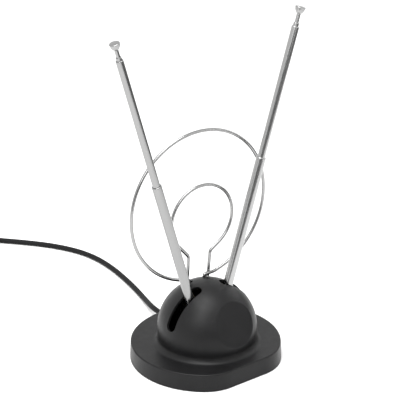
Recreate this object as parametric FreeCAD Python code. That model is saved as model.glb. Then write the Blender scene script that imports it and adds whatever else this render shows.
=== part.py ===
import FreeCAD, Part

import math
import os

from FreeCAD import Vector

# Indoor television antenna with two telescopic rods and a double wire loop.
# Millimetres. The origin is on the floor under the centre of the dome, +Z is up, the flat
# front of the base looks a few degrees from -Y towards +X, and the rods swing to -X (left)
# and +X (right).

# ---------------------------------------------------------------- driving dimensions

UP = Vector(0, 0, 1)
ALONG_Y = Vector(0, 1, 0)

# base and dome
PAD_THICK = 1.0             # non-slip pad on the floor, under the bottom cover
RIM = 0.4                   # the lower edge of the base hangs this far above the floor
BASE_CENTRE = Vector(0.3, 2.4, 0)
BASE_TURN = 3.8             # the flat front looks this many degrees from -Y towards +X
BASE_RADIUS = 61.65         # round outline of the base at its lower edge
BASE_FLAT = 55.15           # distance from the base's centre to the flat front
BASE_CORNER = 34.0          # rounding between the flat front and the round outline
BASE_HEIGHT = 14.5
BASE_DRAFT = 0.6            # the upper edge is this much smaller all round
BASE_EDGE = 1.0             # rounding of the upper edge
WALL = 2.0
DOME_RADIUS = 40.5
DOME_RISE = 27.0            # centre of the dome above the rim
DOME_FOOT_FILLET = 4.5
FACET_TURN = 6.5            # the round flat on the dome's front looks this far towards +X
FACET_TILT = 23.5           # and up by this angle
FACET_DEPTH = 36.0          # distance from the dome's centre to the flat
FACET_EDGE = 1.8

# rod slots in the dome
ROD_PLANE = -4.4            # y of both rods and of their slots
SLOT_HALF = 4.8
SLOT_TOP = 20.4             # angles from vertical of the centres of the slot's round ends
SLOT_BOTTOM = 70.4

# rods, measured along each rod from its pivot
PIVOT_X = 8.5               # from the middle of the two pivots
PIVOT_MIDDLE = Vector(-1.9, 0, 0)
LEFT_LEAN = 16.15           # degrees from vertical as it stands
RIGHT_LEAN = 16.9
EYE_RADIUS = 4.2
EYE_THICK = 2.9
PIVOT_HOLE = 1.55
SECTION_1_START = 9.5       # the collar of the foot ends and the outer tube begins here
LIP = 1.5                   # length of the rolled-in end of each tube
LIP_CLEARANCE = 0.06
#            outer radius, bore radius, lower end, upper end
SECTIONS = {1: (4.00, 3.60, SECTION_1_START, 143.0),
            2: (3.05, 2.70, 125.0, 253.0),
            3: (2.25, 1.92, 135.0, 257.0),
            4: (1.60, 0.00, 146.0, 264.5)}
# how much further out each section stands on its own side than the table says; 0 is the foot,
# and the right outer tube is pressed a little less far onto its foot than the left one
LEFT_DRAWN = {0: 0.0, 1: 0.0, 2: 2.4, 3: 1.2, 4: 0.0}
RIGHT_DRAWN = {0: 0.0, 1: 1.7, 2: -0.85, 3: -1.9, 4: -2.1}
SLEEVE_LENGTHS = {2: 8.0, 3: 6.0, 4: 5.0}
SLEEVE_SLIT = 0.8
TIP_RADIUS = 4.2
TIP_HEIGHT = 5.8

# wire loops
WIRE_RADIUS = 1.4
OUTER_PLANE = 11.3          # y of the outer ring
OUTER_RADIUS = 63.2
OUTER_CENTRE = Vector(-0.4, OUTER_PLANE, 130.2)
INNER_PLANE = 14.2
INNER_RADIUS = 29.1
INNER_CENTRE = Vector(4.7, INNER_PLANE, 116.2)
INNER_NECK_RIGHT = Vector(12.6, INNER_PLANE, 86.5)
INNER_NECK_LEFT = Vector(-8.3, INNER_PLANE, 86.6)
LEG_RIGHT = 10.3            # x of the inner loop's legs where they enter the dome
LEG_LEFT = -9.7
LEG_TOP = 65.2
HOOK_X = 9.0                # the outer ring's hooked right end where it enters the dome
HOOK_TURN = 6.3             # x of the centre of the hook
HOOK_RADIUS = 1.5
HOOK_TOP = 68.6
BEND_X = -9.3               # its left end only bends down
BEND_TOP = 67.3
WIRE_END = 46.2
FOOT_HOLE_RADIUS = 1.65

# coaxial lead
CABLE_RADIUS = 2.3
EXIT_X = 2.5
EXIT_HEIGHT = 7.4
RELIEF_TIP = 74.0           # y where the lead leaves its strain relief
COIL_CENTRE = Vector(-76.6, 294.2, 0)
COIL_INNER = 19.6
COIL_OUTER = 28.8
COIL_HEIGHT = 13.8
TIE_THICK = 0.6
TIE_ANGLE = 195.0
TIE_SPAN = 20.0
CABLE_ROUTE = [Vector(EXIT_X, RELIEF_TIP, EXIT_HEIGHT), Vector(EXIT_X, 84, EXIT_HEIGHT),
               Vector(7.3, 100, 4.6), Vector(12.4, 117.5, 2.3), Vector(15.9, 137, 2.3),
               Vector(18.4, 157, 2.3), Vector(20.1, 178, 2.3), Vector(19.6, 199, 2.3),
               Vector(15.9, 218, 2.3), Vector(8, 236, 2.3), Vector(-4, 254, 2.3),
               Vector(-20, 272, 2.3), Vector(-37, 288.5, 2.4), Vector(-50.5, 304.5, 2.7)]
END_ROUTE = [Vector(-93, 311.5, 16.7), Vector(-103.5, 300.5, 16.3), Vector(-112.5, 286.5, 11.0),
             Vector(-116.5, 271, 5.5), Vector(-116, 257, 5.5)]

# inside the base
BALLAST_THICK = 4.4
CARRIER_FOOT = 10.4
PEDESTAL_TOP = 15.2
BRACKET_SHEET = 1.0
BOARD_LEVEL = 12.2
BOARD_THICK = 1.2
TOWER_TOP = 44.2
SCREW_TIP = 10.2            # the cover's screws end here

# derived levels
BASE_TOP = RIM + BASE_HEIGHT
BACK_WALL = BASE_CENTRE.y + BASE_RADIUS
DOME_CENTRE = Vector(0, 0, RIM + DOME_RISE)
PIVOT_Z = DOME_CENTRE.z
PLATE_LOW = PAD_THICK
PLATE_TOP = PLATE_LOW + WALL
BALLAST_TOP = PLATE_TOP + BALLAST_THICK


# ---------------------------------------------------------------- helpers

def cylinder(radius, start, end):
    axis = end - start
    return Part.makeCylinder(radius, axis.Length, start, axis)


def box(low, high):
    size = high - low
    return Part.makeBox(size.x, size.y, size.z, low)


def tube(outer, inner, start, end):
    return cylinder(outer, start, end).cut(cylinder(inner, start, end))


def fuse(shapes):
    return shapes[0].fuse(shapes[1:]).removeSplitter() if len(shapes) > 1 else shapes[0]


def revolve(edges):
    """Solid of revolution about Z of a closed profile of edges drawn at y = 0."""
    return Part.Face(Part.Wire(edges)).revolve(Vector(0, 0, 0), UP, 360)


def line(a, b):
    return Part.LineSegment(a, b).toShape()


def arc(a, through, b):
    return Part.Arc(a, through, b).toShape()


def unit(v):
    return v * (1.0 / v.Length)


def corner_arc(before, corner, after, trim):
    """Arc tangent to both runs at a corner, starting `trim` before it; also its radius."""
    d_in = unit(corner - before)
    d_out = unit(after - corner)
    half_turn = d_in.getAngle(d_out) / 2
    radius = trim / math.tan(half_turn)
    inward = unit(d_out - d_in)
    centre = corner + inward * (radius / math.cos(half_turn))
    return corner - d_in * trim, centre - inward * radius, corner + d_out * trim, radius


def rounded_path(points, trims):
    """Straight runs through the points, joined by tangent arcs; one trim for each corner."""
    edges = []
    radii = []
    last = points[0]
    for i, trim in enumerate(trims, start=1):
        a, middle, b, radius = corner_arc(points[i - 1], points[i], points[i + 1], trim)
        edges.append(line(last, a))
        edges.append(arc(a, middle, b))
        radii.append(radius)
        last = b
    edges.append(line(last, points[-1]))
    return edges, radii


def sweep(edges, radius):
    """Round wire along joined edges."""
    path = Part.Wire(edges)
    start = path.Edges[0]
    direction = start.tangentAt(start.FirstParameter)
    origin = start.valueAt(start.FirstParameter)
    section = Part.Wire([Part.Circle(origin, direction, radius).toShape()])
    return path.makePipeShell([section], True, False)


def wire_through(points, radius, bend):
    """Thin bent wire: the same bend radius at each corner, where there is room for it."""
    trims = []
    for i in range(1, len(points) - 1):
        turn = (points[i] - points[i - 1]).getAngle(points[i + 1] - points[i])
        trims.append(bend * math.tan(turn / 2))
    edges, _ = rounded_path(points, trims)
    return sweep(edges, radius)


def cord(name, points):
    """Free lead: each arc as large as 0.45 of the shorter run beside it allows."""
    trims = []
    for i in range(1, len(points) - 1):
        trims.append(0.45 * min((points[i] - points[i - 1]).Length, (points[i + 1] - points[i]).Length))
    edges, radii = rounded_path(points, trims)
    solid = sweep(edges, CABLE_RADIUS)
    length = sum(edge.Length for edge in edges)
    ratio = solid.Volume / (length * math.pi * CABLE_RADIUS ** 2)
    print(name, "length", round(length, 1), "volume ratio", round(ratio, 4),
          "radii", [round(r, 1) for r in radii])
    return solid


def hexagon(across_flats, start, end):
    """Hexagonal prism from start to end; with a level axis it lies on one of its flats."""
    axis = unit(end - start)
    side = unit(axis.cross(UP)) if abs(axis.z) < 0.9 else Vector(1, 0, 0)
    up = side.cross(axis)
    corners = []
    for k in range(7):
        angle = math.radians(60 * k)
        reach = across_flats / math.sqrt(3)
        corners.append(start + side * (reach * math.cos(angle)) + up * (reach * math.sin(angle)))
    return Part.Face(Part.makePolygon(corners)).extrude(end - start)


def mirror_x(shape):
    return shape.mirror(Vector(0, 0, 0), Vector(1, 0, 0))


def both_sides(shape):
    return Part.Compound([mirror_x(shape), shape])


def at_pivots(shape):
    """Move what is drawn about x = 0 to the middle of the two pivots."""
    placed = shape.copy()
    placed.translate(PIVOT_MIDDLE)
    return placed


# ---------------------------------------------------------------- housing and base

def base_outline(inset, z):
    """Closed outline of the base at height z, moved inward by inset."""
    radius = BASE_RADIUS - inset
    flat = BASE_FLAT - inset
    corner = BASE_CORNER - inset
    cx = math.sqrt((radius - corner) ** 2 - (flat - corner) ** 2)
    cy = -(flat - corner)
    reach = radius / (radius - corner)
    right_join = Vector(cx * reach, cy * reach, z)
    left_join = Vector(-cx * reach, cy * reach, z)
    middle = math.radians(-90 + math.degrees(math.atan2(cx, -cy)) / 2)
    right_mid = Vector(cx + corner * math.cos(middle), cy + corner * math.sin(middle), z)
    left_mid = Vector(-right_mid.x, right_mid.y, z)
    right_flat = Vector(cx, -flat, z)
    left_flat = Vector(-cx, -flat, z)
    outline = Part.Wire([arc(right_join, Vector(0, radius, z), left_join),
                         arc(left_join, left_mid, left_flat),
                         line(left_flat, right_flat),
                         arc(right_flat, right_mid, right_join)])
    outline.rotate(Vector(0, 0, 0), UP, BASE_TURN)
    outline.translate(BASE_CENTRE)
    return outline


def base_block(inset, bottom, top):
    """Drafted block of the base's outline between two heights."""
    def inset_at(z):
        return inset + BASE_DRAFT * (z - RIM) / BASE_HEIGHT
    return Part.makeLoft([base_outline(inset_at(bottom), bottom), base_outline(inset_at(top), top)],
                         True, True)


def facet_cutter(depth):
    """Everything in front of the dome's tilted flat."""
    tilt = math.radians(FACET_TILT)
    turn = math.radians(FACET_TURN)
    normal = Vector(math.cos(tilt) * math.sin(turn), -math.cos(tilt) * math.cos(turn), math.sin(tilt))
    return cylinder(DOME_RADIUS, DOME_CENTRE + normal * depth, DOME_CENTRE + normal * (DOME_RADIUS + 5))


def dome_solid():
    """Ball-like dome with its hollow foot curve, down into the base."""
    rise = DOME_CENTRE.z - BASE_TOP
    fillet_r = math.sqrt((DOME_RADIUS + DOME_FOOT_FILLET) ** 2 - (rise - DOME_FOOT_FILLET) ** 2)
    fillet_centre = Vector(fillet_r, 0, BASE_TOP + DOME_FOOT_FILLET)
    foot = Vector(fillet_r, 0, BASE_TOP)
    centre = Vector(0, 0, DOME_CENTRE.z)
    meet = centre + unit(fillet_centre - centre) * DOME_RADIUS
    toward = unit(unit(foot - fillet_centre) + unit(meet - fillet_centre))
    crown = Vector(0, 0, DOME_CENTRE.z + DOME_RADIUS)
    sunk = RIM + BASE_HEIGHT / 2
    side = unit(unit(crown - centre) + unit(meet - centre))
    solid = revolve([line(Vector(0, 0, sunk), Vector(fillet_r, 0, sunk)),
                     line(Vector(fillet_r, 0, sunk), foot),
                     arc(foot, fillet_centre + toward * DOME_FOOT_FILLET, meet),
                     arc(meet, centre + side * DOME_RADIUS, crown),
                     line(crown, Vector(0, 0, sunk))])
    solid = solid.cut(facet_cutter(FACET_DEPTH))
    facet_radius = math.sqrt(DOME_RADIUS ** 2 - FACET_DEPTH ** 2)
    rims = [e for e in solid.Edges if not e.Degenerated and isinstance(e.Curve, Part.Circle)
            and abs(e.Curve.Radius - facet_radius) < 0.01]
    return solid.makeFillet(FACET_EDGE, rims)


def slot_cutter(side):
    """Radial slot from the dome's centre outward, round at both ends; side is -1 or 1."""
    middle = Vector(0, ROD_PLANE, DOME_CENTRE.z)
    reach = DOME_RADIUS + 6

    def outward(angle):
        a = math.radians(angle)
        return Vector(side * math.sin(a), 0, math.cos(a))

    ends = [cylinder(SLOT_HALF, middle + outward(a) * (DOME_RADIUS - 12), middle + outward(a) * reach)
            for a in (SLOT_TOP, SLOT_BOTTOM)]
    near = DOME_RADIUS - 12
    mean = (SLOT_TOP + SLOT_BOTTOM) / 2
    sector = Part.Face(Part.Wire([
        line(middle + outward(SLOT_TOP) * near, middle + outward(SLOT_TOP) * reach),
        arc(middle + outward(SLOT_TOP) * reach, middle + outward(mean) * reach,
            middle + outward(SLOT_BOTTOM) * reach),
        line(middle + outward(SLOT_BOTTOM) * reach, middle + outward(SLOT_BOTTOM) * near),
        arc(middle + outward(SLOT_BOTTOM) * near, middle + outward(mean) * near,
            middle + outward(SLOT_TOP) * near)]))
    sector.translate(Vector(0, -SLOT_HALF, 0))
    return fuse([sector.extrude(Vector(0, 2 * SLOT_HALF, 0))] + ends)


def oblong(a, b, radius, top):
    """Upright slot-shaped cutter from a to b, round at both ends."""
    across = unit(UP.cross(b - a)) * radius
    web = Part.Face(Part.makePolygon([a + across, b + across, b - across, a - across, a + across]))
    return fuse([web.extrude(top), cylinder(radius, a, a + top), cylinder(radius, b, b + top)])


def foot_hole(inner_end, outer_end, leg):
    """Bent hole for one side's two wire ends; it starts further in, beside the outer ring's end."""
    low = 55
    top = Vector(0, 0, 20)
    start = Vector(inner_end, OUTER_PLANE, low)
    knee = Vector(outer_end, OUTER_PLANE, low)
    foot = Vector(leg, INNER_PLANE, low)
    return fuse([oblong(start, knee, FOOT_HOLE_RADIUS, top), oblong(knee, foot, FOOT_HOLE_RADIUS, top)])


BOSS_SPOTS = [BASE_CENTRE + Vector(x, y, 0) for x in (-34, 34) for y in (-34, 34)]
BOSS_RADIUS = 3.5
SCREW_CORE = 1.45
EXIT_RADIUS = 3.6


def housing():
    outer = base_block(0, RIM, BASE_TOP)
    upper = [e for e in outer.Edges if abs(e.BoundBox.ZMin - BASE_TOP) < 1e-6
             and abs(e.BoundBox.ZMax - BASE_TOP) < 1e-6]
    outer = outer.makeFillet(BASE_EDGE, upper)
    outer = outer.fuse(dome_solid())
    hollow_ball = Part.makeSphere(DOME_RADIUS - WALL, DOME_CENTRE)
    hollow_ball = hollow_ball.cut(facet_cutter(FACET_DEPTH - WALL))
    ceiling = BASE_TOP - WALL
    below = box(Vector(-60, -60, 0), Vector(60, 60, ceiling - 0.5))
    hollow_ball = hollow_ball.cut(below)
    shell = outer.cut(hollow_ball)
    shell = shell.cut(base_block(WALL, RIM - 1, ceiling))
    for side in (-1, 1):
        shell = shell.cut(slot_cutter(side))
    shell = shell.cut(foot_hole(HOOK_TURN - 1.4, HOOK_X, LEG_RIGHT))
    shell = shell.cut(foot_hole(BEND_X + 1.3, BEND_X, LEG_LEFT))
    for spot in BOSS_SPOTS:
        boss = cylinder(BOSS_RADIUS, spot + UP * PLATE_TOP, spot + UP * (ceiling + 0.5))
        shell = shell.fuse(boss)
        shell = shell.cut(cylinder(SCREW_CORE, spot + UP * PLATE_TOP, spot + UP * (SCREW_TIP + 1)))
    exit_hole = cylinder(EXIT_RADIUS, Vector(EXIT_X, BACK_WALL - 9, EXIT_HEIGHT),
                         Vector(EXIT_X, BACK_WALL + 4, EXIT_HEIGHT))
    return shell.cut(exit_hole).removeSplitter()


CARRIER_SPOTS = [Vector(x, 0, 0) for x in (-20, 20)]
HEAD_THICK = 1.2


def base_plate():
    plate = base_block(WALL + 0.25, PLATE_LOW, PLATE_TOP)
    for spot in BOSS_SPOTS + CARRIER_SPOTS:
        plate = plate.cut(cylinder(3.1, spot, spot + UP * (PLATE_LOW + HEAD_THICK)))
        plate = plate.cut(cylinder(1.7, spot, spot + UP * (PLATE_TOP + 1)))
    return plate


def flat_head_screw(spot, tip):
    """Screw whose head is level with the underside of the plate."""
    head = cylinder(3.0, spot + UP * PLATE_LOW, spot + UP * (PLATE_LOW + HEAD_THICK))
    shank = cylinder(SCREW_CORE, spot + UP * (PLATE_LOW + HEAD_THICK), spot + UP * tip)
    cross = fuse([box(spot + Vector(-1.6, -0.3, 0), spot + Vector(1.6, 0.3, PLATE_LOW + 0.7)),
                  box(spot + Vector(-0.3, -1.6, 0), spot + Vector(0.3, 1.6, PLATE_LOW + 0.7))])
    return fuse([head, shank]).cut(cross)


def ballast_plate():
    plate = cylinder(38.0, UP * PLATE_TOP, UP * BALLAST_TOP)
    for spot in CARRIER_SPOTS:
        plate = plate.cut(cylinder(1.7, spot, spot + UP * (BALLAST_TOP + 1)))
    return plate


# ---------------------------------------------------------------- frame inside the dome

BOARD_SPOTS = [Vector(x, 28, 0) for x in (-9, 9)]


def rod_carrier():
    foot = box(Vector(-26, -12, BALLAST_TOP), Vector(26, 17, CARRIER_FOOT))
    arms = [box(Vector(x - 3, 16, BALLAST_TOP), Vector(x + 3, 32, CARRIER_FOOT)) for x in (-9, 9)]
    back = ROD_PLANE + 7
    pedestal = at_pivots(box(Vector(-15, ROD_PLANE - 6.5, BALLAST_TOP), Vector(15, back, PEDESTAL_TOP)))
    rib = at_pivots(box(Vector(-2, ROD_PLANE - 5.5, BALLAST_TOP), Vector(2, back, PIVOT_Z + 4)))
    tower = box(Vector(-14, 9, BALLAST_TOP), Vector(14, 16.5, TOWER_TOP))
    bosses = [cylinder(2.5, spot + UP * BALLAST_TOP, spot + UP * BOARD_LEVEL) for spot in BOARD_SPOTS]
    body = fuse([foot, pedestal, rib, tower] + arms + bosses)
    for spot in BOARD_SPOTS:
        body = body.cut(cylinder(1.0, spot + UP * (BALLAST_TOP + 1), spot + UP * BOARD_LEVEL))
    for spot in CARRIER_SPOTS:
        body = body.cut(cylinder(SCREW_CORE, spot, spot + UP * PEDESTAL_TOP))
    for x in (-PIVOT_X, PIVOT_X):
        spot = PIVOT_MIDDLE + Vector(x, ROD_PLANE, 0)
        body = body.cut(cylinder(1.2, spot + UP * 10, spot + UP * PEDESTAL_TOP))
    return body


CHEEK_GAP = 1.6             # from the rod's plane to the inner face of each cheek


def bracket():
    """U-shaped strip on the right: a web on the pedestal and a cheek on each side of the eye."""
    near = CHEEK_GAP
    far = CHEEK_GAP + BRACKET_SHEET
    half = 5.0
    web = box(Vector(PIVOT_X - half, ROD_PLANE - far, PEDESTAL_TOP),
              Vector(PIVOT_X + half, ROD_PLANE + far, PEDESTAL_TOP + BRACKET_SHEET))
    pieces = [web]
    for side in (-1, 1):
        y0 = ROD_PLANE + min(side * near, side * far)
        y1 = ROD_PLANE + max(side * near, side * far)
        pieces.append(box(Vector(PIVOT_X - half, y0, PEDESTAL_TOP), Vector(PIVOT_X + half, y1, PIVOT_Z)))
        pieces.append(cylinder(half, Vector(PIVOT_X, y0, PIVOT_Z), Vector(PIVOT_X, y1, PIVOT_Z)))
    strip = fuse(pieces)
    strip = strip.cut(cylinder(1.5, Vector(PIVOT_X, -12, PIVOT_Z), Vector(PIVOT_X, 6, PIVOT_Z)))
    spot = Vector(PIVOT_X, ROD_PLANE, 0)
    return strip.cut(cylinder(1.2, spot + UP * (PEDESTAL_TOP - 1), spot + UP * (PEDESTAL_TOP + 2)))


CHEEK_FACE = CHEEK_GAP + BRACKET_SHEET
WASHER_THICK = 0.7


def pivot_screw():
    front = ROD_PLANE - CHEEK_FACE - WASHER_THICK
    head = cylinder(2.8, Vector(PIVOT_X, front - 1.9, PIVOT_Z), Vector(PIVOT_X, front, PIVOT_Z))
    shank = cylinder(1.5, Vector(PIVOT_X, front, PIVOT_Z), Vector(PIVOT_X, ROD_PLANE + 6.2, PIVOT_Z))
    slot = box(Vector(PIVOT_X - 3, front - 2, PIVOT_Z - 0.4), Vector(PIVOT_X + 3, front - 1.1, PIVOT_Z + 0.4))
    return fuse([head, shank]).cut(slot)


def pivot_nut():
    back = ROD_PLANE + CHEEK_FACE
    nut = hexagon(5.5, Vector(PIVOT_X, back, PIVOT_Z), Vector(PIVOT_X, back + 2.4, PIVOT_Z))
    return nut.cut(cylinder(1.5, Vector(PIVOT_X, back - 1, PIVOT_Z), Vector(PIVOT_X, back + 4, PIVOT_Z)))


def spring_washer():
    front = Vector(PIVOT_X, ROD_PLANE - CHEEK_FACE - WASHER_THICK, PIVOT_Z)
    ring = tube(2.7, 1.5, front, front + ALONG_Y * WASHER_THICK)
    return ring.cut(box(front + Vector(-0.3, -1, 0), front + Vector(0.3, 2, 4)))


def bracket_screw():
    base = Vector(PIVOT_X, ROD_PLANE, 0)
    level = PEDESTAL_TOP + BRACKET_SHEET
    head = cylinder(1.5, base + UP * level, base + UP * (level + 1.4))
    return fuse([head, cylinder(1.2, base + UP * 10, base + UP * level)])


TERMINAL_FRONT = OUTER_PLANE - 2.0
TERMINAL_DEPTH = 7.0


def loop_terminal(side, outer_end, leg):
    """Brass block on the tower with a hole for each of one side's wire ends; side is -1 or 1."""
    back = TERMINAL_FRONT + TERMINAL_DEPTH
    block = box(Vector(6.0, TERMINAL_FRONT, TOWER_TOP), Vector(13.0, back, TOWER_TOP + 8))
    if side < 0:
        block = mirror_x(block)
    for x, y in ((outer_end, OUTER_PLANE), (leg, INNER_PLANE)):
        block = block.cut(cylinder(WIRE_RADIUS, Vector(x, y, WIRE_END), Vector(x, y, 60)))
    level = TOWER_TOP + 4
    front = cylinder(1.0, Vector(outer_end, TERMINAL_FRONT - 1, level), Vector(outer_end, OUTER_PLANE, level))
    return block.cut(front)


def terminal_screw(outer_end):
    level = TOWER_TOP + 4
    front = Vector(outer_end, TERMINAL_FRONT, level)
    head = cylinder(1.9, front - ALONG_Y * 1.5, front)
    return fuse([head, cylinder(1.0, front, Vector(outer_end, OUTER_PLANE - WIRE_RADIUS, level))])


def circuit_board():
    board = box(Vector(-13, 18, BOARD_LEVEL), Vector(13, 32, BOARD_LEVEL + BOARD_THICK))
    for spot in BOARD_SPOTS:
        board = board.cut(cylinder(1.1, spot, spot + UP * 20))
    return board


def board_screw(spot):
    top = BOARD_LEVEL + BOARD_THICK
    head = cylinder(1.9, spot + UP * top, spot + UP * (top + 1.3))
    return fuse([head, cylinder(1.0, spot + UP * (BALLAST_TOP + 1.5), spot + UP * top)])


CORE_X = 6.0
CORE_Y = 24.5
CORE_LEVEL = BOARD_LEVEL + BOARD_THICK
CORE_HOLE_X = 2.8
CORE_HOLE_Z = CORE_LEVEL + 3.2


def balun_core():
    """Two-hole ferrite core lying on the board."""
    core = box(Vector(-CORE_X, CORE_Y - 3.2, CORE_LEVEL), Vector(CORE_X, CORE_Y + 3.2, CORE_LEVEL + 6.4))
    for x in (-CORE_HOLE_X, CORE_HOLE_X):
        core = core.cut(cylinder(1.5, Vector(x, CORE_Y - 5, CORE_HOLE_Z), Vector(x, CORE_Y + 5, CORE_HOLE_Z)))
    return core


def balun_winding():
    """Bundle of wire through both holes of the core."""
    half = 4.3
    edges = []
    corner = CORE_HOLE_X
    for side in (-1, 1):
        edges.append(line(Vector(-side * corner, CORE_Y - side * (half - 1), CORE_HOLE_Z),
                          Vector(-side * corner, CORE_Y + side * (half - 1), CORE_HOLE_Z)))
        edges.append(arc(Vector(-side * corner, CORE_Y + side * (half - 1), CORE_HOLE_Z),
                         Vector(0, CORE_Y + side * (half - 1 + corner), CORE_HOLE_Z),
                         Vector(side * corner, CORE_Y + side * (half - 1), CORE_HOLE_Z)))
    return sweep(edges, 0.9)


def rod_lead():
    start = ROD_PLANE + CHEEK_FACE
    return wire_through([Vector(11, start, 19.2), Vector(11, 5.8, 19.2), Vector(17, 6.4, 16.7),
                         Vector(17, 17.5, 15.2), Vector(15.5, 24.5, 14.5),
                         Vector(10.5, 25, CORE_LEVEL + 0.6)], 0.6, 1.6)


def loop_lead():
    back = TERMINAL_FRONT + TERMINAL_DEPTH
    return wire_through([Vector(12, back, TOWER_TOP + 3), Vector(12, 18.6, TOWER_TOP + 3),
                         Vector(12, 19.0, CORE_LEVEL)], 0.6, 1.2)


def coax_tail():
    level = BALLAST_TOP + CABLE_RADIUS + 0.1
    return wire_through([Vector(EXIT_X, BACK_WALL - 3.8, EXIT_HEIGHT), Vector(EXIT_X, 50, EXIT_HEIGHT),
                         Vector(1, 40, level), Vector(1, 22, level)], CABLE_RADIUS, 8)


# ---------------------------------------------------------------- rods

def place_on_rod(shape, side, lean, drawn):
    """Stand a piece drawn along +Z from the pivot onto its rod; side is -1 or 1."""
    placed = shape.copy()
    placed.translate(UP * drawn)
    placed.rotate(Vector(0, 0, 0), ALONG_Y, side * lean)
    placed.translate(PIVOT_MIDDLE + Vector(side * PIVOT_X, ROD_PLANE, PIVOT_Z))
    return placed


def rod_foot():
    half = Vector(0, EYE_THICK / 2, 0)
    eye = cylinder(EYE_RADIUS, -half, half)
    neck = box(Vector(-2.6, -EYE_THICK / 2, 0), Vector(2.6, EYE_THICK / 2, 8.4))
    outer, bore, _, _ = SECTIONS[1]
    collar = cylinder(outer, UP * 8.0, UP * SECTION_1_START)
    plug = cylinder(bore - 0.03, UP * 8.0, UP * 17.0)
    return fuse([eye, neck, collar, plug]).cut(cylinder(PIVOT_HOLE, -half * 2, half * 2))


def section(number):
    """Telescopic tube with its upper end rolled in to guide the next section."""
    outer, bore, low, high = SECTIONS[number]
    if bore == 0:
        return cylinder(outer, UP * low, UP * high)
    lip = SECTIONS[number + 1][0] + LIP_CLEARANCE
    rolled = min(outer - lip, LIP) * 0.8
    quarter = rolled * (1 - math.sqrt(0.5))
    edges = [line(Vector(bore, 0, low), Vector(outer, 0, low)),
             line(Vector(outer, 0, low), Vector(outer, 0, high - rolled)),
             arc(Vector(outer, 0, high - rolled), Vector(outer - quarter, 0, high - quarter),
                 Vector(outer - rolled, 0, high)),
             line(Vector(outer - rolled, 0, high), Vector(lip, 0, high)),
             line(Vector(lip, 0, high), Vector(lip, 0, high - LIP)),
             line(Vector(lip, 0, high - LIP), Vector(bore, 0, high - LIP - (bore - lip))),
             line(Vector(bore, 0, high - LIP - (bore - lip)), Vector(bore, 0, low))]
    return revolve(edges)


def sleeve(number):
    """Split spring sleeve that grips the bore of the section outside it."""
    outer, _, low, _ = SECTIONS[number]
    outside = SECTIONS[number - 1][1] - LIP_CLEARANCE
    length = SLEEVE_LENGTHS[number]
    ring = tube(outside, outer, UP * low, UP * (low + length))
    return ring.cut(box(Vector(0, -SLEEVE_SLIT / 2, low - 1), Vector(5, SLEEVE_SLIT / 2, low + length + 1)))


def tip():
    """Bell with a flared rim and a slightly domed top."""
    low = SECTIONS[4][3]
    stem = SECTIONS[4][0] + 0.5
    rim = TIP_RADIUS
    top = low + TIP_HEIGHT
    edge = rim - 0.5
    crown = 0.35
    ball = (edge ** 2 + crown ** 2) / (2 * crown)
    half_way = top - ball + math.sqrt(ball ** 2 - (edge / 2) ** 2)
    return revolve([line(Vector(0, 0, low), Vector(stem, 0, low)),
                    arc(Vector(stem, 0, low), Vector(3.1, 0, low + 1.35), Vector(3.75, 0, low + 3.0)),
                    line(Vector(3.75, 0, low + 3.0), Vector(rim, 0, top - 1.0)),
                    arc(Vector(rim, 0, top - 1.0), Vector(rim - 0.12, 0, top - 0.55),
                        Vector(edge, 0, top - crown)),
                    arc(Vector(edge, 0, top - crown), Vector(edge / 2, 0, half_way), Vector(0, 0, top)),
                    line(Vector(0, 0, top), Vector(0, 0, low))])


# ---------------------------------------------------------------- wire loops

RING_START = 17.0           # the ring is a full circle down to this far each side of its middle


def ring_end(side):
    """Lower end of the ring's round part and the way it points there; side is -1 or 1."""
    drop = math.sqrt(OUTER_RADIUS ** 2 - RING_START ** 2)
    end = OUTER_CENTRE + Vector(side * RING_START, 0, -drop)
    return end, Vector(-side * drop, 0, -RING_START) * (1.0 / OUTER_RADIUS)


def hooked_end():
    """Right end of the outer ring, from inside the dome up and back over its own hole."""
    y = OUTER_PLANE
    end, down = ring_end(1)
    knee = end + down * ((end.z - HOOK_TOP) / -down.z)
    hook_in = Vector(HOOK_TURN, y, HOOK_TOP)
    hook_low = HOOK_TOP - 2 * HOOK_RADIUS
    turn = HOOK_X - HOOK_TURN
    near = turn * (1 - math.sqrt(0.5))
    a, middle, b, _ = corner_arc(end, knee, hook_in, 0.9 * knee.sub(end).Length)
    return [line(Vector(HOOK_X, y, WIRE_END), Vector(HOOK_X, y, hook_low - turn)),
            arc(Vector(HOOK_X, y, hook_low - turn), Vector(HOOK_X - near, y, hook_low - near),
                Vector(HOOK_TURN, y, hook_low)),
            arc(Vector(HOOK_TURN, y, hook_low), Vector(HOOK_TURN - HOOK_RADIUS, y, HOOK_TOP - HOOK_RADIUS),
                hook_in),
            line(hook_in, b),
            arc(b, middle, a),
            line(a, end)]


def bent_end():
    """Left end of the outer ring, from the ring down into the dome."""
    end, down = ring_end(-1)
    knee = Vector(BEND_X, OUTER_PLANE, BEND_TOP)
    first = end + down * 3.0
    edges, _ = rounded_path([end, first, knee, Vector(BEND_X, OUTER_PLANE, WIRE_END)], [1.5, 1.9])
    return edges


def outer_loop():
    right, _ = ring_end(1)
    left, _ = ring_end(-1)
    ring = arc(right, OUTER_CENTRE + UP * OUTER_RADIUS, left)
    return sweep(hooked_end() + [ring] + bent_end(), WIRE_RADIUS)


def tangent_point(corner, turn):
    """Where a straight run from a corner meets the inner loop's circle; turn is -1 or 1."""
    away = corner - INNER_CENTRE
    angle = math.atan2(away.z, away.x) + turn * math.acos(INNER_RADIUS / away.Length)
    return INNER_CENTRE + Vector(math.cos(angle), 0, math.sin(angle)) * INNER_RADIUS


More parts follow.
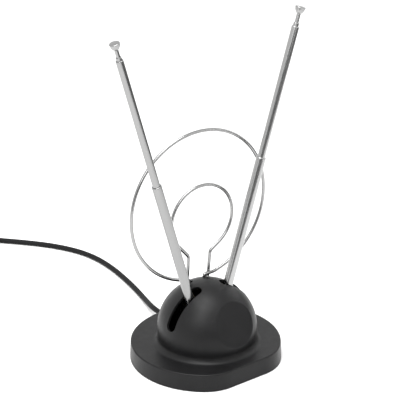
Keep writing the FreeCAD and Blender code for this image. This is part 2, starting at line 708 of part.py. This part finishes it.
def inner_loop():
    """Round loop drawn in to a neck, with two legs down into the dome."""
    right_touch = tangent_point(INNER_NECK_RIGHT, 1)
    left_touch = tangent_point(INNER_NECK_LEFT, -1)

    def leg(neck, foot_x, touch):
        foot = Vector(foot_x, INNER_PLANE, LEG_TOP)
        end = Vector(foot_x, INNER_PLANE, WIRE_END)
        edges, _ = rounded_path([end, foot, neck, touch], [1.2, 2.0])
        return edges

    right = leg(INNER_NECK_RIGHT, LEG_RIGHT, right_touch)
    left = leg(INNER_NECK_LEFT, LEG_LEFT, left_touch)
    crown = arc(right_touch, INNER_CENTRE + UP * INNER_RADIUS, left_touch)
    return sweep(right + [crown] + list(reversed(left)), WIRE_RADIUS)


# ---------------------------------------------------------------- lead and plug

def strain_relief():
    """Grommet in the back wall with a tapered, ribbed tail round the lead."""
    def at(beyond):
        return Vector(EXIT_X, BACK_WALL + beyond, EXIT_HEIGHT)

    tail = RELIEF_TIP - BACK_WALL - 1.0
    pieces = [cylinder(4.3, at(-3.8), at(-2.8)),
              cylinder(EXIT_RADIUS - 0.05, at(-3.0), at(0.5)),
              cylinder(4.9, at(0.2), at(1.3)),
              Part.makeCone(3.7, CABLE_RADIUS + 0.4, tail, at(1.0), ALONG_Y)]
    for k in range(3):
        start = 3.2 + 2.3 * k
        pieces.append(cylinder(3.75 - 0.25 * k, at(start), at(start + 1.0)))
    return fuse(pieces)


def ring_section(grow):
    """Outline of the coil's cross-section, at the coil's +X side, grown by `grow`."""
    low = TIE_THICK - grow
    high = TIE_THICK + COIL_HEIGHT + grow
    inner = COIL_INNER - grow
    outer = COIL_OUTER + grow
    r = CABLE_RADIUS + grow
    k = r * (1 - math.sqrt(0.5))
    return Part.Wire([
        line(Vector(inner + r, 0, low), Vector(outer - r, 0, low)),
        arc(Vector(outer - r, 0, low), Vector(outer - k, 0, low + k), Vector(outer, 0, low + r)),
        line(Vector(outer, 0, low + r), Vector(outer, 0, high - r)),
        arc(Vector(outer, 0, high - r), Vector(outer - k, 0, high - k), Vector(outer - r, 0, high)),
        line(Vector(outer - r, 0, high), Vector(inner + r, 0, high)),
        arc(Vector(inner + r, 0, high), Vector(inner + k, 0, high - k), Vector(inner, 0, high - r)),
        line(Vector(inner, 0, high - r), Vector(inner, 0, low + r)),
        arc(Vector(inner, 0, low + r), Vector(inner + k, 0, low + k), Vector(inner + r, 0, low))])


def cable_coil():
    """Outer shape of the neat coil in which the spare lead is put away."""
    ring = Part.Face(ring_section(0)).revolve(Vector(0, 0, 0), UP, 360)
    ring.translate(COIL_CENTRE)
    return ring


def coil_tie():
    """Band round the coil's cross-section at one place."""
    around, within = (Part.Face(ring_section(grow)).revolve(Vector(0, 0, 0), UP, TIE_SPAN)
                      for grow in (TIE_THICK, 0))
    solid = around.cut(within)
    solid.rotate(Vector(0, 0, 0), UP, TIE_ANGLE)
    solid.translate(COIL_CENTRE)
    return solid


PLUG_AT = END_ROUTE[-1]
PLUG_WAY = unit(END_ROUTE[-1] - END_ROUTE[-2])
PLUG_WAY = unit(Vector(PLUG_WAY.x, PLUG_WAY.y, 0))


def on_plug(distance):
    return PLUG_AT + PLUG_WAY * distance


def plug_sleeve():
    """Crimped sleeve that grips the lead."""
    body = fuse([cylinder(3.4, on_plug(0), on_plug(9)), cylinder(4.2, on_plug(8), on_plug(10))])
    return body.cut(cylinder(0.6, on_plug(7), on_plug(11)))


def plug_nut():
    body = hexagon(11.0, on_plug(10), on_plug(17.5))
    mouth = cylinder(4.6, on_plug(11.5), on_plug(18))
    return body.cut(mouth).cut(cylinder(0.6, on_plug(9), on_plug(12)))


def plug_pin():
    return fuse([cylinder(0.5, on_plug(8), on_plug(20.5)), cylinder(2.3, on_plug(11.5), on_plug(13))])


# ---------------------------------------------------------------- nodes

NODES = {
    "housing": housing,
    "base_plate": base_plate,
    "base_pad": lambda: cylinder(42.0, Vector(0, 0, 0), UP * PAD_THICK),
    "ballast_plate": ballast_plate,
    "base_screws": lambda: Part.Compound([flat_head_screw(spot, SCREW_TIP) for spot in BOSS_SPOTS]),
    "rod_carrier": rod_carrier,
    "carrier_screws": lambda: Part.Compound([flat_head_screw(spot, CARRIER_FOOT) for spot in CARRIER_SPOTS]),
    "left_bracket": lambda: at_pivots(mirror_x(bracket())),
    "right_bracket": lambda: at_pivots(bracket()),
    "bracket_screws": lambda: at_pivots(both_sides(bracket_screw())),
    "pivot_screws": lambda: at_pivots(both_sides(pivot_screw())),
    "pivot_nuts": lambda: at_pivots(both_sides(pivot_nut())),
    "spring_washers": lambda: at_pivots(both_sides(spring_washer())),
    "loop_terminals": lambda: Part.Compound([loop_terminal(-1, BEND_X, LEG_LEFT),
                                             loop_terminal(1, HOOK_X, LEG_RIGHT)]),
    "terminal_screws": lambda: Part.Compound([terminal_screw(BEND_X), terminal_screw(HOOK_X)]),
    "circuit_board": circuit_board,
    "board_screws": lambda: Part.Compound([board_screw(spot) for spot in BOARD_SPOTS]),
    "balun_core": balun_core,
    "balun_winding": balun_winding,
    "rod_leads": lambda: both_sides(rod_lead()),
    "loop_leads": lambda: both_sides(loop_lead()),
    "coax_tail": coax_tail,
    "outer_loop": outer_loop,
    "inner_loop": inner_loop,
    "strain_relief": strain_relief,
    "cable": lambda: cord("cable", CABLE_ROUTE),
    "cable_coil": cable_coil,
    "coil_tie": coil_tie,
    "cable_end": lambda: cord("cable_end", END_ROUTE),
    "plug_sleeve": plug_sleeve,
    "plug_nut": plug_nut,
    "plug_pin": plug_pin,
}

# each piece of a rod, with the section that it stands on
ROD_PIECES = {"rod_foot": (0, rod_foot), "tip": (4, tip)}
for n in SECTIONS:
    ROD_PIECES["section_%d" % n] = (n, lambda n=n: section(n))
for n in SLEEVE_LENGTHS:
    ROD_PIECES["sleeve_%d" % n] = (n, lambda n=n: sleeve(n))

for name, (n, make) in ROD_PIECES.items():
    NODES["left_" + name] = lambda n=n, make=make: place_on_rod(make(), -1, LEFT_LEAN, LEFT_DRAWN[n])
    NODES["right_" + name] = lambda n=n, make=make: place_on_rod(make(), 1, RIGHT_LEAN, RIGHT_DRAWN[n])

os.makedirs("parts", exist_ok=True)
for name, make in NODES.items():
    shape = make()
    if not shape.isValid():
        print("not valid:", name)
    shape.exportStep("parts/%s.step" % name)
print(len(NODES), "nodes written")
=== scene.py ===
import math

import bpy
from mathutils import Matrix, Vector


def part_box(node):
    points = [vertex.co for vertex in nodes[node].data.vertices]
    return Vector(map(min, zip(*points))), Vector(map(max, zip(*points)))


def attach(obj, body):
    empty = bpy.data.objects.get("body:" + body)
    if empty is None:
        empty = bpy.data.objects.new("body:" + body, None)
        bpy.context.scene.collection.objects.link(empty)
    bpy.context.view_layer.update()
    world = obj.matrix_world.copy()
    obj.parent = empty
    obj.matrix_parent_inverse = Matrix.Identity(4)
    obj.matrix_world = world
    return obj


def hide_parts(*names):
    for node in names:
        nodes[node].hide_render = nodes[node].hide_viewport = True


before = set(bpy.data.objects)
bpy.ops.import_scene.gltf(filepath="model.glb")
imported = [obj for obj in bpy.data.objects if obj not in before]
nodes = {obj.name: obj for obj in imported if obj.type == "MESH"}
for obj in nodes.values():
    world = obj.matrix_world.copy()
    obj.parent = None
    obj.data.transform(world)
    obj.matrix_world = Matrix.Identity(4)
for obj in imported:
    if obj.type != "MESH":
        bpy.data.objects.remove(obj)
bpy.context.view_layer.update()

# Indoor television antenna with two telescopic rods and a double wire loop.
# Metres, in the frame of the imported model: +Z up, the base's flat front looks a few degrees
# from -Y towards +X.

collection = bpy.context.scene.collection


def centre(node):
    """Middle of a CAD node's box."""
    low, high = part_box(node)
    return (Vector(low) + Vector(high)) / 2


def polar(about, radius, angle, z):
    """Point at an angle in degrees and a radius round a vertical axis through a point."""
    a = math.radians(angle)
    return Vector((about.x + radius * math.cos(a), about.y + radius * math.sin(a), z))


# ---------------------------------------------------------------- camera

AZIMUTH = math.radians(-34.335)
ELEVATION = math.radians(23.90)
DISTANCE = 1.5088
LENS = 166.6                # millimetres, as is the sensor's width
SENSOR = 36
AIM_RIGHT = -0.00575        # from the dome's axis at the housing's lower rim, along the view's axes
AIM_UP = 0.12682

BACK = Vector((math.sin(AZIMUTH) * math.cos(ELEVATION), -math.cos(AZIMUTH) * math.cos(ELEVATION),
               math.sin(ELEVATION)))
RIGHT = Vector((math.cos(AZIMUTH), math.sin(AZIMUTH), 0))
UP = BACK.cross(RIGHT)


def add_camera():
    """Camera fitted to the photograph."""
    rim = Vector((0, 0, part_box("housing")[0][2]))
    aim = rim + RIGHT * AIM_RIGHT + UP * AIM_UP
    data = bpy.data.cameras.new("camera")
    data.lens = LENS
    data.sensor_width = SENSOR
    camera = bpy.data.objects.new("camera", data)
    camera.location = aim + BACK * DISTANCE
    camera.rotation_mode = "QUATERNION"
    camera.rotation_quaternion = (-BACK).to_track_quat("-Z", "Y")
    collection.objects.link(camera)
    bpy.context.scene.camera = camera


# ---------------------------------------------------------------- free lead

CABLE_DIAMETER = 0.0046
CABLE_ROUTE = [(0.0025, 0.074, 0.0074), (0.0025, 0.084, 0.0074), (0.0073, 0.100, 0.0046),
               (0.0124, 0.1175, 0.0023), (0.0159, 0.137, 0.0023), (0.0184, 0.157, 0.0023),
               (0.0201, 0.178, 0.0023), (0.0196, 0.199, 0.0023), (0.0159, 0.218, 0.0023),
               (0.008, 0.236, 0.0023), (-0.004, 0.254, 0.0023), (-0.020, 0.272, 0.0023),
               (-0.037, 0.2885, 0.0024), (-0.0505, 0.3045, 0.0027)]
END_ROUTE = [(-0.093, 0.3115, 0.0167), (-0.1035, 0.3005, 0.0163), (-0.1125, 0.2865, 0.011),
             (-0.1165, 0.271, 0.0055), (-0.116, 0.257, 0.0055)]
# radius and height of each place in the coil, in the order in which the lead fills them
TURNS = [(0.0265, 0.0029), (0.0219, 0.0029), (0.0219, 0.0075), (0.0265, 0.0075),
         (0.0265, 0.0121), (0.0219, 0.0121), (0.0238, 0.0165)]
COIL_START = 42.4           # angle where the lead meets the coil
COIL_END = 133.5            # and where it leaves it again
STEPS = 16                  # control points for each turn
SHIFT = 0.2                 # part of a turn in which the lead moves over to its next place
TURN = 0.94                 # of a turn from one such move to the next


def ease(x):
    """Rises smoothly from 0 to 1 while x does."""
    x = min(max(x, 0.0), 1.0)
    return x * x * (3 - 2 * x)


def coil_place(turned):
    """Radius and height of the lead after so many turns of the coil."""
    radius, height = TURNS[0]
    for k in range(1, len(TURNS)):
        done = ease((turned - (1 + TURN * (k - 1) - SHIFT)) / SHIFT)
        radius += done * (TURNS[k][0] - TURNS[k - 1][0])
        height += done * (TURNS[k][1] - TURNS[k - 1][1])
    return radius, height


def coil_points():
    """Control points of the coil. The curve runs inside them, so they stand a little further out."""
    middle = centre("cable_coil")
    drawn_in = 0.75 + 0.25 * math.cos(2 * math.pi / STEPS)
    whole = len(TURNS) - 1 + (COIL_END - COIL_START) / 360
    count = round(whole * STEPS)
    points = []
    for i in range(count):
        turned = whole * i / count
        radius, height = coil_place(turned)
        points.append(polar(middle, radius / drawn_in, COIL_START + 360 * turned, height))
    return points


def add_lead():
    """The whole lead as one cord, from the back wall to the plug."""
    points = CABLE_ROUTE + coil_points() + END_ROUTE
    curve = bpy.data.curves.new("lead", "CURVE")
    curve.dimensions = "3D"
    curve.bevel_depth = 1.0     # times each point's radius
    curve.bevel_resolution = 6
    curve.use_fill_caps = True
    spline = curve.splines.new("NURBS")
    spline.points.add(len(points) - 1)
    for target, point in zip(spline.points, points):
        target.co = (*point, 1)
        target.radius = CABLE_DIAMETER / 2
    spline.order_u = 3
    spline.use_endpoint_u = True
    spline.resolution_u = 6
    lead = bpy.data.objects.new("lead", curve)
    collection.objects.link(lead)
    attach(lead, "root")
    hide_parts("cable", "cable_coil", "cable_end")
    return lead


# ---------------------------------------------------------------- materials

NOISE_LOW = 0.3             # noise values that give the two ends of a range or a tint
NOISE_HIGH = 0.7
BROAD_TO_FINE = 30          # size of a surface's soft patches against the size of its grain
# Grey of each rod's chrome. Both rods are the same metal: the left one is painted darker and the right one
# paler, painted light that evens out how bright their reflections are.
TUBE_GREY_WITH_PAINTED_LIGHT = {"left": 0.30, "right": 0.39}


class Surface:
    """A procedural material while its nodes are joined up."""

    def __init__(self, name, **sockets):
        self.material = bpy.data.materials.new(name)
        self.material.use_nodes = True
        self.tree = self.material.node_tree
        self.shader = self.tree.nodes["Principled BSDF"]
        for socket, value in sockets.items():
            self.shader.inputs[socket.replace("_", " ").title().replace("Ior", "IOR")].default_value = value
        self.place = self.add("ShaderNodeTexCoord").outputs["Object"]

    def add(self, kind, inputs=None, **settings):
        """New node whose inputs are linked to sockets or set to values."""
        node = self.tree.nodes.new(kind)
        for key, value in settings.items():
            setattr(node, key, value)
        for socket, value in (inputs or {}).items():
            if isinstance(value, bpy.types.NodeSocket):
                self.tree.links.new(value, node.inputs[socket])
            else:
                node.inputs[socket].default_value = value
        return node

    def link(self, value, socket):
        self.tree.links.new(value, self.shader.inputs[socket])

    def stretched(self, stretch, lean=0.0):
        """Places stretched along an axis that leans from Z towards X."""
        mapping = self.add("ShaderNodeMapping", {"Vector": self.place}, vector_type="TEXTURE")
        mapping.inputs["Rotation"].default_value = (0, lean, 0)
        mapping.inputs["Scale"].default_value = stretch
        return mapping.outputs["Vector"]

    def noise(self, size, place=None, detail=3.0):
        """Noise whose blotches are about so many metres across."""
        node = self.add("ShaderNodeTexNoise", {"Vector": place or self.place, "Scale": 1 / size,
                                               "Detail": detail, "Roughness": 0.55})
        return node.outputs["Fac"]

    def between(self, value, low, high, start=NOISE_LOW, stop=NOISE_HIGH):
        """Number from low to high while the value goes from start to stop."""
        node = self.add("ShaderNodeMapRange", {"Value": value, "From Min": start, "From Max": stop,
                                               "To Min": low, "To Max": high})
        return node.outputs["Result"]

    def tint(self, value, dark, light):
        """Colour from one shade to another."""
        ramp = self.add("ShaderNodeValToRGB", {"Fac": value})
        ramp.color_ramp.elements[0].position = NOISE_LOW
        ramp.color_ramp.elements[0].color = (*dark, 1)
        ramp.color_ramp.elements[1].position = NOISE_HIGH
        ramp.color_ramp.elements[1].color = (*light, 1)
        return ramp.outputs["Color"]

    def bump(self, height, depth, onto=None):
        """Raised grain so many metres deep, on another bump if one is given."""
        inputs = {"Height": height, "Strength": 1.0, "Distance": depth}
        if onto is not None:
            inputs["Normal"] = onto
        return self.add("ShaderNodeBump", inputs).outputs["Normal"]


def plain(name, dark, light, rough, grain=0.0006, depth=0.00002, metallic=0.0, **sockets):
    """Fine-grained surface: shade and gloss vary softly, and the grain is raised."""
    surface = Surface(name, metallic=metallic, **sockets)
    broad = surface.noise(grain * BROAD_TO_FINE)
    fine = surface.noise(grain)
    surface.link(surface.tint(broad, dark, light), "Base Color")
    surface.link(surface.between(broad, *rough), "Roughness")
    surface.link(surface.bump(fine, depth), "Normal")
    return surface.material


def moulded_black():
    """Satin black moulding with a fine spark-eroded texture."""
    surface = Surface("moulded_black", specular_ior_level=0.20)
    grain = surface.noise(0.00045, detail=2.0)
    cloud = surface.noise(0.025)
    scuff = surface.noise(0.006, surface.stretched((1, 1, 3)))
    surface.link(surface.tint(cloud, (0.006, 0.006, 0.0063), (0.0085, 0.0085, 0.009)), "Base Color")
    surface.link(surface.between(scuff, 0.36, 0.44), "Roughness")
    surface.link(surface.bump(grain, 0.000035, surface.bump(cloud, 0.00012)), "Normal")
    return surface.material


def drawn_chrome(name, shade, lean=0.0, rough=(0.12, 0.19)):
    """Plated metal: faint lines along it, a little smudging."""
    surface = Surface(name, metallic=1.0)
    lines = surface.noise(0.0006, surface.stretched((1, 1, 60), lean), detail=2.0)
    smudge = surface.noise(0.012, surface.stretched((1, 1, 3), lean))
    surface.link(surface.tint(smudge, (shade * 0.95,) * 3, (shade, shade, shade * 0.995)), "Base Color")
    surface.link(surface.between(smudge, *rough), "Roughness")
    surface.link(surface.bump(lines, 0.000006), "Normal")
    return surface.material


def lean_of(side):
    """Angle of a rod from Z towards X."""
    run = centre(side + "_section_4") - centre(side + "_section_1")
    return math.atan2(run.x, run.z)


def paint(material, *names):
    """Gives the pieces this one material."""
    for name in names:
        data = nodes[name].data
        data.materials.clear()
        data.materials.append(material)


def both(*pieces):
    """Names of these pieces on the left rod and on the right rod."""
    return ["%s_%s" % (side, piece) for side in ("left", "right") for piece in pieces]


def paint_mouldings_and_lead(lead):
    jacket = plain("jacket", (0.0085, 0.0085, 0.0088), (0.0115, 0.0115, 0.012), (0.52, 0.62),
                   grain=0.0008, depth=0.00003, specular_ior_level=0.12)
    lead.data.materials.append(jacket)
    paint(moulded_black(), "housing", "base_plate", "rod_carrier")
    paint(jacket, "strain_relief", "coax_tail")


def paint_rods_and_loops():
    # Each rod gets its own copy of the chrome, differing only in painted light.
    for side, shade in TUBE_GREY_WITH_PAINTED_LIGHT.items():
        tube = drawn_chrome(side + "_tube_painted_light", shade, lean_of(side))
        paint(tube, *["%s_section_%d" % (side, n) for n in (1, 2, 3, 4)])
    paint(drawn_chrome("turned_tip", 0.33, rough=(0.18, 0.26)), *both("tip"))
    # The loop wire is painted a darker grey than its plating: painted shade standing in for the dark rods
    # and dome it reflects.
    paint(drawn_chrome("loop_wire", 0.32, rough=(0.12, 0.20)), "outer_loop", "inner_loop")
    paint(plain("cast_zinc", (0.42, 0.42, 0.43), (0.58, 0.58, 0.58), (0.35, 0.55), metallic=1.0,
                depth=0.00003), *both("rod_foot"))
    paint(plain("spring_bronze", (0.55, 0.35, 0.16), (0.70, 0.48, 0.25), (0.3, 0.45), metallic=1.0,
                grain=0.0004), *both("sleeve_2", "sleeve_3", "sleeve_4"))


def paint_base_parts():
    paint(plain("pad_foam", (0.02, 0.02, 0.02), (0.035, 0.035, 0.034), (0.85, 0.95), grain=0.0012,
                depth=0.0002), "base_pad")
    paint(plain("steel_plate", (0.30, 0.30, 0.31), (0.42, 0.42, 0.42), (0.32, 0.5), metallic=1.0,
                grain=0.0005), "ballast_plate")
    paint(plain("zinc_plate", (0.55, 0.56, 0.58), (0.70, 0.69, 0.64), (0.25, 0.4), metallic=1.0,
                grain=0.0003, depth=0.000008),
          "base_screws", "carrier_screws", "bracket_screws", "pivot_screws", "pivot_nuts",
          "spring_washers", "terminal_screws", "board_screws")


def paint_electrical_parts():
    paint(plain("brass_sheet", (0.66, 0.48, 0.19), (0.79, 0.62, 0.29), (0.22, 0.4), metallic=1.0,
                grain=0.0004, depth=0.00001), "left_bracket", "right_bracket", "loop_terminals")
    paint(plain("board_laminate", (0.50, 0.37, 0.15), (0.62, 0.48, 0.22), (0.4, 0.6)), "circuit_board")
    paint(plain("ferrite", (0.05, 0.048, 0.047), (0.10, 0.095, 0.09), (0.5, 0.75), grain=0.0003,
                depth=0.00004), "balun_core")
    paint(plain("enamelled_wire", (0.50, 0.20, 0.07), (0.66, 0.32, 0.13), (0.2, 0.3), metallic=1.0,
                grain=0.0004), "balun_winding")
    paint(plain("lead_insulation", (0.010, 0.010, 0.011), (0.016, 0.016, 0.017), (0.4, 0.5)),
          "rod_leads", "loop_leads")


def paint_plug_and_tie():
    paint(plain("satin_nickel", (0.58, 0.57, 0.54), (0.68, 0.67, 0.63), (0.24, 0.36), metallic=1.0,
                grain=0.0003, depth=0.000008), "plug_sleeve", "plug_nut")
    paint(plain("bare_copper", (0.60, 0.28, 0.15), (0.75, 0.42, 0.26), (0.25, 0.4), metallic=1.0,
                grain=0.0003, depth=0.000008), "plug_pin")
    paint(plain("tie_plastic", (0.03, 0.03, 0.03), (0.045, 0.045, 0.045), (0.35, 0.5)), "coil_tie")


# ---------------------------------------------------------------- floor and light

FLOOR_SIZE = 12.0
FLAG_REACH = 0.56           # distance of the dark panels from the dome's axis
FLAG_HEIGHT = 0.47
FLAG_ANGLES = range(-45, 110, 30)   # from -Y towards +X, in degrees
FLAG_HALF_ANGLE = 15.5      # the panels overlap a little
FLAG_DARK = (0.17, 0.17, 0.17)
FLAG_PALE = (0.98, 0.98, 0.98)
LEFT_LEVEL = 0.29           # height at which the left panels turn pale
RIGHT_LEVEL = 0.18
LEVEL_BLEND = 0.05
WORLD_STRENGTH = 1.15


def flat_piece(name, corners, material):
    """Flat stage panel through its corners."""
    mesh = bpy.data.meshes.new(name)
    mesh.from_pydata([tuple(c) for c in corners], [], [tuple(range(len(corners)))])
    mesh.materials.append(material)
    panel = bpy.data.objects.new(name, mesh)
    collection.objects.link(panel)
    return panel


def add_floor():
    half = FLOOR_SIZE / 2
    surface = Surface("floor", roughness=0.9)
    shade = surface.tint(surface.noise(0.8), (0.925, 0.925, 0.925), (0.935, 0.935, 0.935))
    surface.link(shade, "Base Color")
    corners = [(-half, -half, 0), (half, -half, 0), (half, half, 0), (-half, half, 0)]
    flat_piece("floor", corners, surface.material)


def flag_material(name, level):
    """Dark up to a level, paler above it."""
    surface = Surface(name, roughness=1.0, specular_ior_level=0.0)
    height = surface.add("ShaderNodeSeparateXYZ", {"Vector": surface.place}).outputs["Z"]
    above = surface.between(height, 0, 1, level - LEVEL_BLEND, level + LEVEL_BLEND)
    surface.link(surface.tint(above, FLAG_DARK, FLAG_PALE), "Base Color")
    return surface.material


def add_flags():
    """Dark panels in front, seen only in what is glossy."""
    left = flag_material("flag_left", LEFT_LEVEL)
    right = flag_material("flag_right", RIGHT_LEVEL)
    top = Vector((0, 0, FLAG_HEIGHT))
    for k, angle in enumerate(FLAG_ANGLES):
        way = Vector((math.sin(math.radians(angle)), -math.cos(math.radians(angle)), 0))
        across = Vector((-way.y, way.x, 0)) * FLAG_REACH * math.tan(math.radians(FLAG_HALF_ANGLE))
        foot = way * FLAG_REACH
        corners = [foot - across, foot + across, foot + across + top, foot - across + top]
        panel = flat_piece("flag_%d" % k, corners, left if angle < 0 else right)
        panel.visible_camera = False
        panel.visible_shadow = False
        panel.visible_diffuse = False


def softbox(name, place, aim, width, height, power):
    """Area light that the camera doesn't see."""
    data = bpy.data.lights.new(name, "AREA")
    data.shape = "RECTANGLE"
    data.size = width
    data.size_y = height
    data.energy = power
    light = bpy.data.objects.new(name, data)
    light.location = place
    light.rotation_mode = "QUATERNION"
    light.rotation_quaternion = (Vector(aim) - Vector(place)).to_track_quat("-Z", "Y")
    light.visible_camera = False
    collection.objects.link(light)


def add_light():
    world = bpy.data.worlds.new("world")
    world.use_nodes = True
    background = world.node_tree.nodes["Background"]
    background.inputs["Color"].default_value = (1, 1, 1, 1)
    background.inputs["Strength"].default_value = WORLD_STRENGTH
    bpy.context.scene.world = world
    bpy.context.scene.view_settings.view_transform = "Standard"
    softbox("top", place=(-0.15, -0.05, 1.3), aim=(0, 0, 0.1), width=0.75, height=0.65, power=11)
    softbox("key", place=(-0.61, -0.40, 0.86), aim=(0, 0, 0.03), width=0.30, height=0.90, power=5.0)


# ---------------------------------------------------------------- the scene

add_camera()
lead = add_lead()
paint_mouldings_and_lead(lead)
paint_rods_and_loops()
paint_base_parts()
paint_electrical_parts()
paint_plug_and_tie()
add_floor()
add_flags()
add_light()
